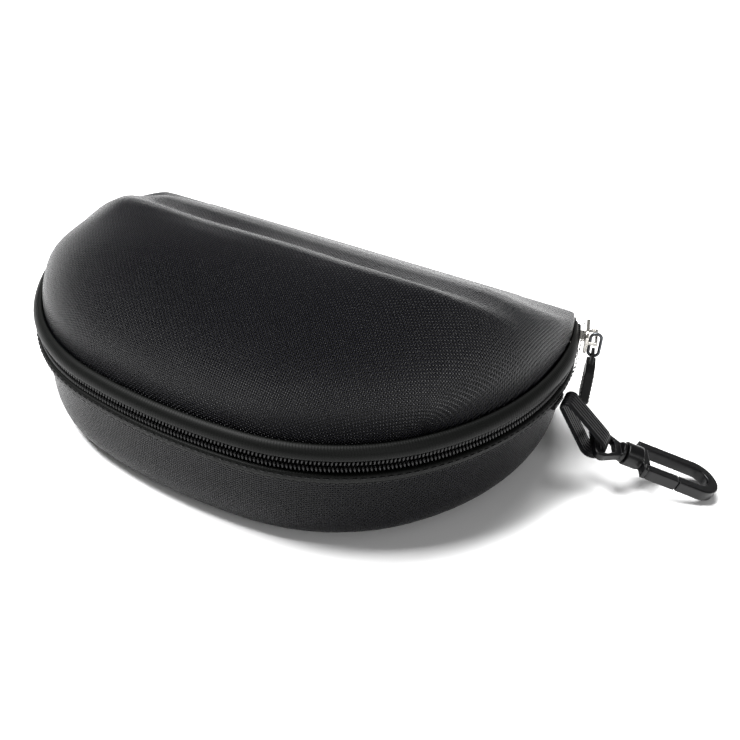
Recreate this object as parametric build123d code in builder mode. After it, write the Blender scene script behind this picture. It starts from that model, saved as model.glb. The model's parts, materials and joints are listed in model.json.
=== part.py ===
"""Zipped half-moon glasses case: two moulded foam shells, a fabric hinge and a coil zipper.

X runs along the case, +Y points to the hinge at the back and +Z up.  The origin is on the
table under the middle of the case, on the line across its widest place.
"""

import os
from math import asin, cos, degrees, hypot, radians, sin, sqrt

from build123d import *

os.makedirs("parts", exist_ok=True)

# ---------------------------------------------------------------- plan of the rim
half_length = 95.0        # outermost edge of the zipper band, each side of the middle
front_radius = 185.0      # gentle curve of the front
shoulder_radius = 72.0    # curve between the front and the ends
shoulder_turn = 51.6      # how far the rim has turned where the shoulder meets the end, degrees
back_depth = 36.0         # from the widest line to the straight back
corner_radius = 8.0       # back corners
min_corner_radius = 4.0   # back corners of everything inside the shells' outer face

# ---------------------------------------------------------------- heights
rim_height = 34.0         # the zipper's closing line above the table
shell_gap = 4.0           # from the closing line to each shell's edge
dome_height = 33.0        # of the upper shell, above its edge
dome_spread = 48.0        # how far the top of the dome lies inside its foot
dome_power = 2.6          # fullness of the dome's side
dome_root = 0.625         # roundness of the dome's top
tray_spread = 14.0        # how far the flat floor lies inside the lower shell's wall
tray_power = 8.0          # fullness of the lower shell's side
tray_root = 0.5           # roundness of its bottom edge
brow_y = -40.0            # the lobe's top starts to fall to the back here
back_fall = (             # places behind the brow, each with its drop below the lobe's top
    (-29.5, 0.9), (-21, 6.3), (-13, 10.8), (-5, 12.1), (4, 15.8),
)
dome_corner = 46.0        # the back corners' radius grows by this much up the dome
dome_corner_shrink = 0.8  # and loses this share of how far the dome lies inside its foot
back_wall = 0.4           # height of the upper shell's wall at the straight back

# ---------------------------------------------------------------- layers and bands
shell_inset = 3.6         # the shells' outer face lies this far inside the band's edge
cover_thickness = 0.8
foam_thickness = 3.4
lining_thickness = 0.6
roof_lean = 1.15          # a sloping layer of a thickness takes this much more height
tape_thickness = 0.7
coil_inset = 0.9          # the coil sits this far behind the band's edge
coil_gap = 0.6            # from the closing line to each row of the coil
coil_height = 2.4         # from the closing line to the coil's outer side
upper_binding_height = 3.8
lower_binding_height = 3.8
lower_binding_inset = 0.3
tape_tuck = 1.5           # the tape ends this far short of the binding's edge
band_end = 29.0           # the bindings stop here, short of the straight back
zipper_end = 30.0         # the coil and its tape stop here
stop_length = 2.0         # metal end stops
edge_tape_thickness = 0.8
hinge_tape_half = 66.0    # half the length of the fabric hinge
hinge_tape_thickness = 0.8
hinge_slack = 0.1         # the hinge line lies this far behind the tape
hinge_tape_reach = 8.0    # of the tape down the lower shell
hinge_gap = 0.15          # the two halves of the hinge tape part at the hinge line

# ---------------------------------------------------------------- slider and pull
slider_angle = 16.2       # parked place behind the widest line, degrees
slider_length = 11.0
slider_width = 8.4
slider_plate = 1.1
slider_clearance = 0.5    # between the slider's plates and what they slide on
inner_plate_width = 5.2
web_length = 6.0
web_thickness = 0.5
bridge_length = 9.0
bridge_width = 1.1
bridge_bar = 0.9
bridge_opening = 2.2      # height of the eye under the bridge
wire_radius = 0.55
link_radius = 1.7         # of the wire's centre line at both ends of the link
link_drop = 0.3           # the link's upper bend hangs this far below the bridge's middle
link_length = 5.3         # between the centres of its two bends
tab_width = 8.4
tab_thickness = 3.0
tab_length = 21.0
tab_tongue_thickness = 1.1
tab_tongue_width = 5.0
tab_eye_radius = 0.95
tab_eye_margin = 0.8      # rubber round the eye
tab_shoulder = 2.2        # from the eye's middle down to the full thickness

# ---------------------------------------------------------------- webbing loop and snap hook
bar_centre = (107.4, -1.8, 15.8)   # where the swivel eye's bar passes through the loop
hook_tip = (142.0, 13.0, 2.6)      # middle of the hook's round end, on the table
webbing_width = 7.6
webbing_thickness = 1.2
webbing_bend = 3.0        # inside radius of the loop round the bar
webbing_root_bend = 1.0   # inside radius where both legs meet at the seam
webbing_angle = 4.0       # the loop leaves the case turned this far from straight out, degrees
webbing_root_drop = 6.6   # the seam lies this far below the closing line
webbing_gap = 0.35        # between the band and the free part of the loop
anchor_thickness = 2.4
anchor_depth = 2.6
eye_half_width = 5.3      # half the inside width of the swivel eye
eye_arm = 2.1
eye_bar = 2.4
eye_reach = 5.2           # from the bar to the inside of the eye's narrow end
eye_shoulder = 1.9        # the eye's window starts to narrow this far beyond the bar
eye_yoke = 2.0            # solid end of the eye next to the flange
eye_neck = 8.6            # from the bar's middle to the flange
eye_thickness = 2.4
flange_radius = 3.2
flange_length = 1.2
shank_radius = 1.5
shank_clearance = 0.05
shank_head_radius = 2.5
shank_head_length = 1.4
collar_gap = 0.3
collar_length = 5.2
collar_radius = 3.8
collar_wall = 3.0         # solid end of the collar that the shank turns in
hook_width = 14.0
hook_thickness = 3.8
hook_bar = 3.3            # width of the hook's bars
hook_shoulder = 2.6       # the frame's square end beyond the collar
gate_length = 9.4
gate_knuckle_radius = 1.6
gate_clearance = 0.3

# ---------------------------------------------------------------- worked-out places
upper_edge = rim_height + shell_gap
lower_edge = rim_height - shell_gap
hinge_y = back_depth - shell_inset + hinge_tape_thickness + hinge_slack
layers = cover_thickness + foam_thickness + lining_thickness


def rim_outline(inset, back_inset=None, corner=None):
    """Closed plan curve of the rim, a stated distance inside the band's edge."""
    back_inset = inset if back_inset is None else back_inset
    side = half_length - inset
    shoulder = shoulder_radius - inset
    front = front_radius - inset
    corner = corner or max(corner_radius - inset, min_corner_radius)
    back = back_depth - back_inset
    turn = radians(shoulder_turn)
    reach = half_length - shoulder_radius
    shoulder_x = reach * sin(turn)
    shoulder_y = -reach * cos(turn)
    front_turn = asin(shoulder_x / (front_radius - shoulder_radius))
    front_y = shoulder_y + (front_radius - shoulder_radius) * cos(front_turn)
    corner_y = back - corner
    corner_turn = asin(corner_y / (side - corner))
    corner_x = (side - corner) * cos(corner_turn)
    a0, a1, a2 = degrees(front_turn), shoulder_turn, degrees(corner_turn)
    with BuildLine() as line:
        CenterArc((0, front_y), front, -90, a0)
        CenterArc((shoulder_x, shoulder_y), shoulder, a0 - 90, a1 - a0)
        CenterArc((0, 0), side, a1 - 90, 90 - a1 + a2)
        CenterArc((corner_x, corner_y), corner, a2, 90 - a2)
        Line((corner_x, back), (0, back))
        mirror(about=Plane.YZ)
    return line.line


def section(inset, height, back_inset=None, corner=None):
    """Filled plan of the rim, an inset and a height for a loft."""
    outline = rim_outline(inset, back_inset, corner)
    with BuildSketch(Plane.XY.offset(height)) as sketch:
        add(outline)
        make_face()
    return sketch.sketch


def ring(outer, inner, low, high, end=None):
    """Flat band that follows the rim between two insets and two heights, cut off at the back."""
    with BuildPart() as band:
        add(section(outer, low))
        extrude(amount=high - low)
        add(section(inner, low))
        extrude(amount=high - low, mode=Mode.SUBTRACT)
        if end is not None:
            split(bisect_by=Plane.XZ.offset(-end), keep=Keep.TOP)
    return band.part


def dome_profile(share):
    return dome_spread * (1 - (1 - share**dome_power) ** dome_root)


def dome_corner_radius(share):
    growth = dome_corner * (1 - (1 - share) ** 4)
    return min_corner_radius + growth - dome_corner_shrink * dome_profile(share)


def tray_profile(share):
    return tray_spread * (1 - (1 - share**tray_power) ** tray_root)


def roof_side(depth):
    """Side view of the top: front lobe, step behind it, low ridge and the slope to the hinge."""
    top = upper_edge + dome_height - depth * roof_lean
    back = back_depth - shell_inset
    foot = upper_edge + back_wall - depth * roof_lean
    last_y, last_drop = back_fall[-1]
    slope = (top - last_drop - foot) / (back - last_y)
    with BuildSketch(Plane.YZ) as sketch:
        with BuildLine():
            brow = Line((-2 * half_length, top), (brow_y, top))
            step = Spline(
                brow @ 1,
                *((y, top - drop) for y, drop in back_fall),
                tangents=((1, 0), (1, -slope)),
            )
            fall = Line(step @ 1, (back, foot))
            Polyline(
                fall @ 1, (back + 10, foot - 10 * slope), (back + 10, 0), (-2 * half_length, 0),
                (-2 * half_length, top),
            )
        make_face()
    return sketch.sketch


def dome(depth):
    """Solid body of the upper shell, a stated depth inside its outer face."""
    with BuildPart() as body:
        for share in (0, 0.1, 0.2, 0.3, 0.4, 0.5, 0.6, 0.7, 0.79, 0.87, 0.93, 0.97, 1.0):
            add(section(
                shell_inset + depth + dome_profile(share),
                upper_edge + (dome_height - depth) * share,
                shell_inset + depth,
                dome_corner_radius(share),
            ))
        loft(ruled=True)
        with BuildPart(mode=Mode.INTERSECT):
            add(roof_side(depth))
            extrude(amount=half_length, dir=(1, 0, 0), both=True)
    return body.part


def tray(depth):
    """Solid body of the lower shell, a stated depth inside its outer face."""
    with BuildPart() as body:
        for share in (0, 0.4, 0.6, 0.7, 0.78, 0.84, 0.89, 0.93, 0.96, 0.985, 1.0):
            add(section(
                shell_inset + depth + tray_profile(share),
                lower_edge - (lower_edge - depth) * share,
            ))
        loft(ruled=True)
    return body.part


def shell(body, outer, inner):
    """One layer of a moulded shell, between two depths."""
    with BuildPart() as layer:
        add(body(outer))
        add(body(inner), mode=Mode.SUBTRACT)
    return layer.part


def write(part, name):
    part.label = name
    export_step(part, f"parts/{name}.step")


# ---------------------------------------------------------------- the two shells
for name, body in (("lower", tray), ("upper", dome)):
    write(shell(body, 0, cover_thickness), f"{name}_shell_cover")
    write(shell(body, cover_thickness, cover_thickness + foam_thickness), f"{name}_shell_foam")
    write(shell(body, cover_thickness + foam_thickness, layers), f"{name}_lining")

# ---------------------------------------------------------------- zipper, bindings and edges
tape_back = shell_inset
tape_front = shell_inset - tape_thickness
upper_binding_low = rim_height + coil_height
upper_binding_high = upper_binding_low + upper_binding_height
lower_binding_high = rim_height - coil_height
lower_binding_low = lower_binding_high - lower_binding_height

write(
    ring(0, tape_front, upper_binding_low, upper_binding_high, band_end),
    "upper_binding",
)
write(
    ring(lower_binding_inset, tape_front, lower_binding_low, lower_binding_high, band_end),
    "lower_binding",
)
write(
    ring(tape_front, tape_back, rim_height + coil_gap, upper_binding_high - tape_tuck, zipper_end),
    "upper_zipper_tape",
)
write(
    ring(tape_front, tape_back, lower_binding_low + tape_tuck, rim_height - coil_gap, zipper_end),
    "lower_zipper_tape",
)
write(
    ring(coil_inset, tape_front, rim_height + coil_gap, upper_binding_low, zipper_end),
    "upper_zipper_coil",
)
lower_coil = ring(coil_inset, tape_front, lower_binding_high, rim_height - coil_gap, zipper_end)
with BuildPart() as lower_row:
    add(lower_coil)
    split(bisect_by=Plane.XZ.offset(stop_length - zipper_end), keep=Keep.TOP)
write(lower_row.part, "lower_zipper_coil")
with BuildPart() as stops:
    add(lower_coil)
    split(bisect_by=Plane.XZ.offset(stop_length - zipper_end), keep=Keep.BOTTOM)
write(stops.part, "zipper_end_stops")

edge_front = shell_inset + 0.1
edge_back = shell_inset + layers
write(
    ring(edge_front, edge_back, upper_edge - edge_tape_thickness, upper_edge),
    "upper_edge_tape",
)
write(
    ring(edge_front, edge_back, lower_edge, lower_edge + edge_tape_thickness),
    "lower_edge_tape",
)

# ---------------------------------------------------------------- fabric hinge
hinge_back = hinge_y - hinge_slack
for name, low, high in (
    ("lower", lower_edge - hinge_tape_reach, rim_height - hinge_gap),
    ("upper", rim_height + hinge_gap, upper_edge),
):
    with BuildPart() as tape:
        with BuildSketch(Plane.XY.offset(low)):
            with Locations((0, hinge_back - hinge_tape_thickness / 2)):
                Rectangle(2 * hinge_tape_half, hinge_tape_thickness)
        extrude(amount=high - low)
    write(tape.part, f"hinge_tape_{name}")

# ---------------------------------------------------------------- slider
out = (cos(radians(slider_angle)), sin(radians(slider_angle)), 0)
slider_plane = Plane(
    origin=(half_length * out[0], half_length * out[1], rim_height),
    x_dir=(-out[1], out[0], 0),
    z_dir=out,
)
outer_face = slider_clearance + slider_plate
inner_plate_z = -shell_inset - slider_clearance
with BuildPart(slider_plane) as slider:
    with BuildSketch(slider_plane.offset(slider_clearance)):
        RectangleRounded(slider_length, slider_width, slider_width / 4)
    extrude(amount=slider_plate)
    with BuildSketch(slider_plane.offset(inner_plate_z)):
        RectangleRounded(slider_length, inner_plate_width, inner_plate_width / 4)
    extrude(amount=-slider_plate)
    with BuildSketch(slider_plane.offset(inner_plate_z)):
        Rectangle(web_length, web_thickness)
    extrude(amount=slider_clearance - inner_plate_z)
write(slider.part, "slider_body")

bridge_top = outer_face + bridge_opening + bridge_bar
side_plane = Plane(
    origin=slider_plane.origin, x_dir=slider_plane.x_dir, z_dir=(0, 0, -1)
)
bar_z = outer_face + bridge_opening + bridge_bar / 2
with BuildPart() as bridge:
    with BuildSketch(side_plane.offset(-bridge_width / 2)):
        with BuildLine():
            Polyline(
                (-bridge_length / 2, outer_face), (-bridge_length / 2, bridge_top),
                (bridge_length / 2, bridge_top), (bridge_length / 2, outer_face),
                (bridge_length / 2 - bridge_bar, outer_face),
                (bridge_length / 2 - bridge_bar, bridge_top - bridge_bar),
                (bridge_bar - bridge_length / 2, bridge_top - bridge_bar),
                (bridge_bar - bridge_length / 2, outer_face), close=True,
            )
        make_face()
    extrude(amount=bridge_width)
write(bridge.part, "slider_bridge")

# ---------------------------------------------------------------- pull link and pull tab
link_plane = Plane(origin=slider_plane.origin, x_dir=slider_plane.z_dir, z_dir=-slider_plane.x_dir)
low_bend = -link_drop - link_length
with BuildPart() as link:
    with BuildLine(link_plane) as link_path:
        CenterArc((bar_z, -link_drop), link_radius, 0, 180)
        Line((bar_z - link_radius, -link_drop), (bar_z - link_radius, low_bend))
        CenterArc((bar_z, low_bend), link_radius, 180, 180)
        Line((bar_z + link_radius, low_bend), (bar_z + link_radius, -link_drop))
    with BuildSketch(Plane(link_path.line @ 0, z_dir=link_path.line % 0)):
        Circle(wire_radius)
    sweep()
write(link.part, "pull_link")

eye_y = low_bend - link_radius
tab_top = eye_y + tab_eye_radius + tab_eye_margin
tab_full = eye_y - tab_shoulder
tab_end = tab_top - tab_length
with BuildPart() as tab:
    with BuildSketch(slider_plane.offset(bar_z - tab_tongue_thickness / 2)):
        with Locations((0, (tab_top + tab_full) / 2)):
            Rectangle(tab_tongue_width, tab_top - tab_full)
        with Locations((0, eye_y)):
            Circle(tab_eye_radius, mode=Mode.SUBTRACT)
    extrude(amount=tab_tongue_thickness)
    with BuildSketch(slider_plane.offset(bar_z - tab_thickness / 2)):
        with BuildLine():
            Polyline(
                (tab_tongue_width / 2, tab_full), (tab_width / 2, tab_full - tab_shoulder),
                (tab_width / 2, tab_end + tab_width / 2),
            )
            CenterArc((0, tab_end + tab_width / 2), tab_width / 2, 0, -180)
            Polyline(
                (-tab_width / 2, tab_end + tab_width / 2),
                (-tab_width / 2, tab_full - tab_shoulder), (-tab_tongue_width / 2, tab_full),
                (tab_tongue_width / 2, tab_full),
            )
        make_face()
    extrude(amount=tab_thickness)
write(tab.part, "pull_tab")

# ---------------------------------------------------------------- webbing loop
bar_x, bar_y, bar_height = bar_centre
loop_turn = radians(webbing_angle)
root_height = rim_height - webbing_root_drop
root_x = half_length + webbing_gap + webbing_root_bend + webbing_thickness
loop_run = (bar_x - root_x) / cos(loop_turn)
loop_plane = Plane(
    origin=bar_centre,
    x_dir=(cos(loop_turn), sin(loop_turn), 0),
    z_dir=(sin(loop_turn), -cos(loop_turn), 0),
)
root_place = (-loop_run, root_height - bar_height)
with BuildPart() as loop:
    with BuildSketch(loop_plane.offset(-webbing_width / 2)):
        Circle(webbing_bend + webbing_thickness)
        with Locations(root_place):
            Circle(webbing_root_bend + webbing_thickness)
        make_hull()
        with BuildSketch(mode=Mode.SUBTRACT):
            Circle(webbing_bend)
            with Locations(root_place):
                Circle(webbing_root_bend)
            make_hull()
    extrude(amount=webbing_width)
write(loop.part, "webbing_loop")

anchor_y = bar_y - (bar_x - half_length) * sin(loop_turn)
with BuildPart() as anchor:
    with BuildSketch(Plane.XY.offset(lower_binding_low - anchor_thickness)):
        add(rim_outline(lower_binding_inset))
        make_face()
        add(section(tape_back, 0), mode=Mode.SUBTRACT)
        with Locations((half_length - anchor_depth, anchor_y)):
            Rectangle(4 * anchor_depth, webbing_width, mode=Mode.INTERSECT)
    extrude(amount=anchor_thickness)
write(anchor.part, "webbing_anchor")

# ---------------------------------------------------------------- swivel eye and snap hook
run = (hook_tip[0] - bar_x, hook_tip[1] - bar_y, hook_tip[2] - bar_height)
hook_length = sqrt(sum(part * part for part in run))
flat_run = hypot(run[0], run[1])
along = tuple(part / hook_length for part in run)
across = (-run[1] / flat_run, run[0] / flat_run, 0)
upward = (
    along[1] * across[2] - along[2] * across[1],
    along[2] * across[0] - along[0] * across[2],
    along[0] * across[1] - along[1] * across[0],
)
hook_plane = Plane(origin=bar_centre, x_dir=along, z_dir=upward)


def shaft_plane(distance):
    """Plane square to the hook's long axis, a distance from the eye's bar."""
    centre = tuple(bar_centre[i] + along[i] * distance for i in range(3))
    return Plane(origin=centre, x_dir=across, z_dir=along)


shank_end = eye_neck + flange_length + collar_gap + collar_wall + shank_head_length
with BuildPart() as eye:
    with BuildSketch(hook_plane.offset(-eye_thickness / 2)):
        with Locations((eye_bar / 2, eye_half_width), (eye_bar / 2, -eye_half_width)):
            Circle(eye_arm)
        with Locations((eye_neck - eye_yoke / 2, 0)):
            Rectangle(eye_yoke, 2 * flange_radius)
        make_hull()
        with Locations((-eye_bar / 2 - eye_arm, 0)):
            Rectangle(2 * eye_arm, 4 * eye_half_width, mode=Mode.SUBTRACT)
        with BuildLine(mode=Mode.PRIVATE) as opening:
            Polyline(
                (eye_bar / 2, eye_half_width), (eye_bar / 2 + eye_shoulder, eye_half_width),
                (eye_bar / 2 + eye_reach, 0.5 * eye_half_width),
                (eye_bar / 2 + eye_reach, -0.5 * eye_half_width),
                (eye_bar / 2 + eye_shoulder, -eye_half_width), (eye_bar / 2, -eye_half_width), close=True,
            )
        with BuildSketch(mode=Mode.SUBTRACT):
            add(opening.line)
            make_face()
    extrude(amount=eye_thickness)
    with BuildSketch(shaft_plane(eye_neck)):
        Circle(flange_radius)
    extrude(amount=flange_length)
    with BuildSketch(shaft_plane(eye_neck)):
        Circle(shank_radius)
    extrude(amount=shank_end - eye_neck)
    with BuildSketch(shaft_plane(shank_end - shank_head_length + collar_gap)):
        Circle(shank_head_radius)
    extrude(amount=shank_head_length)
write(eye.part, "swivel_eye")

collar_start = eye_neck + flange_length + collar_gap
frame_start = collar_start + collar_length
hook_end = hook_length + hook_bar / 2
half_width = hook_width / 2
gate_middle = half_width - hook_bar / 2
gate_start = frame_start + hook_shoulder
gate_end = gate_start + gate_length
tip_centre = hook_end - half_width
with BuildPart() as hook:
    with BuildSketch(hook_plane.offset(-hook_thickness / 2)):
        with Locations(((frame_start + tip_centre) / 2, 0)):
            Rectangle(tip_centre - frame_start, hook_width)
        with Locations((tip_centre, 0)):
            Circle(half_width)
        with BuildSketch(mode=Mode.SUBTRACT):
            with Locations(((gate_start + tip_centre) / 2, 0)):
                Rectangle(tip_centre - gate_start, hook_width - 2 * hook_bar)
            with Locations((tip_centre, 0)):
                Circle(half_width - hook_bar)
        with Locations(((gate_start + gate_end) / 2, -gate_middle - gate_clearance / 2)):
            Rectangle(gate_length, hook_bar + 2 * gate_clearance, mode=Mode.SUBTRACT)
        with Locations((gate_start, -gate_middle)):
            Circle(gate_knuckle_radius + gate_clearance, mode=Mode.SUBTRACT)
    extrude(amount=hook_thickness)
    with BuildSketch(shaft_plane(collar_start)):
        Circle(collar_radius)
    extrude(amount=collar_length)
    with BuildSketch(shaft_plane(collar_start)):
        Circle(shank_radius + shank_clearance)
    extrude(amount=collar_wall, mode=Mode.SUBTRACT)
    with BuildSketch(shaft_plane(collar_start + collar_wall)):
        Circle(shank_head_radius + collar_gap)
    extrude(amount=shank_head_length + 2 * collar_gap, mode=Mode.SUBTRACT)
write(hook.part, "snap_hook_body")

with BuildPart() as gate:
    with BuildSketch(hook_plane.offset(-hook_thickness / 2)):
        with Locations((gate_start, -gate_middle)):
            Circle(gate_knuckle_radius)
        with Locations(((gate_start + gate_end - gate_clearance) / 2, -gate_middle)):
            Rectangle(gate_length - gate_clearance, 2 * gate_knuckle_radius)
    extrude(amount=hook_thickness)
write(gate.part, "snap_hook_gate")

print("eye bar", bar_centre, "hook runs", along, "across", across, "up", upward)
print("gate pivot", tuple(hook_plane.from_local_coords((gate_start, -gate_middle, 0))))
print("slider at", tuple(slider_plane.origin), "along", tuple(slider_plane.x_dir))
print("link pivot", tuple(slider_plane.from_local_coords((0, 0, bar_z))))
print("tab pivot", tuple(slider_plane.from_local_coords((0, eye_y, bar_z))))
print("hinge line", hinge_y, rim_height, "loop seam", half_length, anchor_y, root_height)
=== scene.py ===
# %% [markdown]
# # A zipped half-moon glasses case
# This lesson dresses a finished mechanical model of a hard glasses case: two moulded foam
# shells in woven nylon, a fabric hinge, a coil zipper with its puller, and a small snap hook
# on a webbing loop.  The mechanical model is loaded first and never moved.  Every visible
# piece is then made around it, in metres, and each but the fabric hinge strip is told
# which moving body it rides on.

import json
import math

import bmesh
import bpy
import numpy as np
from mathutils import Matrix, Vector

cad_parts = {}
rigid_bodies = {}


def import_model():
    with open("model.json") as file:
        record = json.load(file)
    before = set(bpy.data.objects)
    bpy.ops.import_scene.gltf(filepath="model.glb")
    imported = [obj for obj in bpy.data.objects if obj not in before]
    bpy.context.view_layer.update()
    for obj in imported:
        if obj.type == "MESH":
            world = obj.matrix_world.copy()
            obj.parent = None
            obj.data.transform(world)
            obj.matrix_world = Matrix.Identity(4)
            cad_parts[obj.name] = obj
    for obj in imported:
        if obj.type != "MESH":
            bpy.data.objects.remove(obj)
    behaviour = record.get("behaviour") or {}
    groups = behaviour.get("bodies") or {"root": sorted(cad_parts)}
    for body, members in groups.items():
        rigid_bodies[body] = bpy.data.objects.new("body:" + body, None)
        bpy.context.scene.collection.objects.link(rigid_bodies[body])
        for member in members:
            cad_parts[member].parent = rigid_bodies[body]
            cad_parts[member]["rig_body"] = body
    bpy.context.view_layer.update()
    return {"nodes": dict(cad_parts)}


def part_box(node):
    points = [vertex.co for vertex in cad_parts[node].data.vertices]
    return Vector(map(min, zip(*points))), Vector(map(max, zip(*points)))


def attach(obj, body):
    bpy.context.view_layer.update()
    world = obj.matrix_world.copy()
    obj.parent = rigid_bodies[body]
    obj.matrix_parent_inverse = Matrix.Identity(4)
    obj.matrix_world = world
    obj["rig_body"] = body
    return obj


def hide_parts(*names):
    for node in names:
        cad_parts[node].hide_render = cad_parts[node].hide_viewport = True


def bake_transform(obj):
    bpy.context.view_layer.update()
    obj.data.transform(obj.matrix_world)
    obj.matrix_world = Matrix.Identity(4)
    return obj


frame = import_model()
MM = 0.001

# %% [markdown]
# ## Camera, floor and light
# A camera is placed first, so that every later step can be looked at from the same spot.  The
# case stands on a pale floor under three soft boxes.  A large one behind and above lights the
# floor and the ridge, a small strong one catches the beads of the dark weave, and a weak one
# at the right fills in the trim.


# %% Camera
camera_data = bpy.data.cameras.new("case_camera")
camera = bpy.data.objects.new("case_camera", camera_data)
bpy.context.scene.collection.objects.link(camera)
camera.location = (0.15238, -0.25531, 0.21497)
camera.rotation_mode = "QUATERNION"
camera.rotation_quaternion = Vector((-0.45173, 0.70207, -0.55049)).to_track_quat("-Z", "Y")
camera_data.lens = 47.58
camera_data.shift_x = 0.12297
camera_data.shift_y = -0.05622
camera_data.clip_start = 0.01
bpy.context.scene.camera = camera
print("camera", tuple(camera.location))


# %% A node with its settings and links
def node(tree, kind, settings=None, links=None):
    """Adds a node.  A link's value is either a socket to join or a plain value to set."""
    made = tree.nodes.new(kind)
    for name, value in (settings or {}).items():
        setattr(made, name, value)
    for name, value in (links or {}).items():
        if isinstance(value, bpy.types.NodeSocket):
            tree.links.new(value, made.inputs[name])
        else:
            made.inputs[name].default_value = value
    return made


def linear(hex_colour):
    """An sRGB hex colour as the linear values that a shader wants."""
    parts = [int(hex_colour[i:i + 2], 16) / 255 for i in (1, 3, 5)]
    return [p / 12.92 if p <= 0.04045 else ((p + 0.055) / 1.055) ** 2.4 for p in parts] + [1]


def new_finish(name, **sockets):
    """An empty material with its principled shader's plain values set."""
    material = bpy.data.materials.new(name)
    material.use_nodes = True
    shader = material.node_tree.nodes["Principled BSDF"]
    for socket, value in sockets.items():
        shader.inputs[socket.replace("_", " ")].default_value = value
    return material, material.node_tree, shader


print("a mid grey is", [round(v, 3) for v in linear("#808080")[:3]])

# %% Floor
floor_finish, tree, shader = new_finish("studio_floor_paint", Roughness=0.9)
cloudy = node(tree, "ShaderNodeTexNoise", None, {"Scale": 6.0, "Detail": 2.0})
paint = node(tree, "ShaderNodeMix", {"data_type": "RGBA"}, {
    0: cloudy.outputs["Fac"], 6: linear("#fcfcfc"), 7: linear("#fefefe"),
})
tree.links.new(paint.outputs[2], shader.inputs["Base Color"])
floor_mesh = bpy.data.meshes.new("studio_floor")
floor_mesh.from_pydata([(-6, -6, 0), (6, -6, 0), (6, 6, 0), (-6, 6, 0)], [], [(0, 1, 2, 3)])
floor_mesh.materials.append(floor_finish)
floor = bpy.data.objects.new("studio_floor", floor_mesh)
floor.location.z = -0.0001
bpy.context.scene.collection.objects.link(floor)
print("floor", floor.dimensions)


# %% Soft boxes
def soft_box(name, place, aim, size, watts):
    data = bpy.data.lights.new(name, "AREA")
    data.shape = "RECTANGLE"
    data.size, data.size_y = size
    data.energy = watts
    lamp = bpy.data.objects.new(name, data)
    lamp.location = place
    lamp.rotation_mode = "QUATERNION"
    lamp.rotation_quaternion = (Vector(aim) - Vector(place)).to_track_quat("-Z", "Y")
    bpy.context.scene.collection.objects.link(lamp)
    return lamp


soft_box("top_box", (-0.20, 0.35, 1.15), (0, 0, 0.03), (0.6, 0.6), 19)
soft_box("bead_box", (-0.35, -0.30, 1.05), (0, 0, 0.03), (0.3, 0.3), 19)
soft_box("front_box", (0.8, -0.5, 0.6), (0, 0, 0.03), (0.4, 0.3), 2)
world = bpy.data.worlds.new("white_room")
world.use_nodes = True
world.node_tree.nodes["Background"].inputs["Color"].default_value = linear("#ffffff")
world.node_tree.nodes["Background"].inputs["Strength"].default_value = 0.22
bpy.context.scene.world = world
bpy.context.scene.view_settings.view_transform = "Standard"
print("lights", len(bpy.data.lights))

# %% [markdown]
# ## The plan of the rim
# Everything on this case follows one D-shaped line: a gentle front curve, a tighter shoulder,
# a round end, a small corner and a straight back.  Each of them is an arc, so the line can be
# drawn at any distance inside the widest edge by making every radius shorter.  The sizes are
# the mechanical model's own.

# %% Sizes of the case, in millimetres
HALF_LENGTH, FRONT_R, SHOULDER_R = 95.0, 185.0, 72.0
SHOULDER_TURN = math.radians(51.6)
BACK, CORNER_R = 36.0, 8.0
RIM = 34.0
UPPER_EDGE, LOWER_EDGE = 38.0, 30.0
SHELL_INSET = 3.6
DOME_HEIGHT, DOME_SPREAD, DOME_POWER, DOME_ROOT = 33.0, 48.0, 2.6, 0.625
REACH = HALF_LENGTH - SHOULDER_R
SHOULDER = np.array([REACH * math.sin(SHOULDER_TURN), -REACH * math.cos(SHOULDER_TURN)])
FRONT_TURN = math.asin(SHOULDER[0] / (FRONT_R - SHOULDER_R))
FRONT_Y = SHOULDER[1] + (FRONT_R - SHOULDER_R) * math.cos(FRONT_TURN)
print("front curve's centre", round(FRONT_Y, 1), "shoulder's", SHOULDER.round(1))


# %% The rim's line at any inset
def arc(centre, radius, start, end, count):
    turn = np.linspace(start, end, count, endpoint=False)
    way = np.stack([np.cos(turn), np.sin(turn)], 1)
    return np.asarray(centre) + radius * way, way


def right_half(inset, back, corner, counts=(26, 34, 26, 16, 26)):
    """Points and outward directions from the middle of the front to the middle of the back."""
    side = HALF_LENGTH - inset
    corner_y = back - corner
    corner_turn = math.asin(corner_y / (side - corner))
    corner_x = (side - corner) * math.cos(corner_turn)
    quarter = math.pi / 2
    runs = [
        arc((0, FRONT_Y), FRONT_R - inset, -quarter, FRONT_TURN - quarter, counts[0]),
        arc(SHOULDER, SHOULDER_R - inset, FRONT_TURN - quarter, SHOULDER_TURN - quarter, counts[1]),
        arc((0, 0), side, SHOULDER_TURN - quarter, corner_turn, counts[2]),
        arc((corner_x, corner_y), corner, corner_turn, quarter, counts[3]),
    ]
    x = np.linspace(corner_x, 0, counts[4] + 1)
    runs.append((np.stack([x, np.full_like(x, back)], 1), np.tile([0.0, 1.0], (len(x), 1))))
    return np.concatenate([r[0] for r in runs]), np.concatenate([r[1] for r in runs])


def whole_ring(inset, back, corner):
    """The closed line: the right half, then the same mirrored back to the front."""
    points, _ = right_half(inset, back, corner)
    left = points[1:-1][::-1] * [-1, 1]
    return np.concatenate([points, left])


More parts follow.
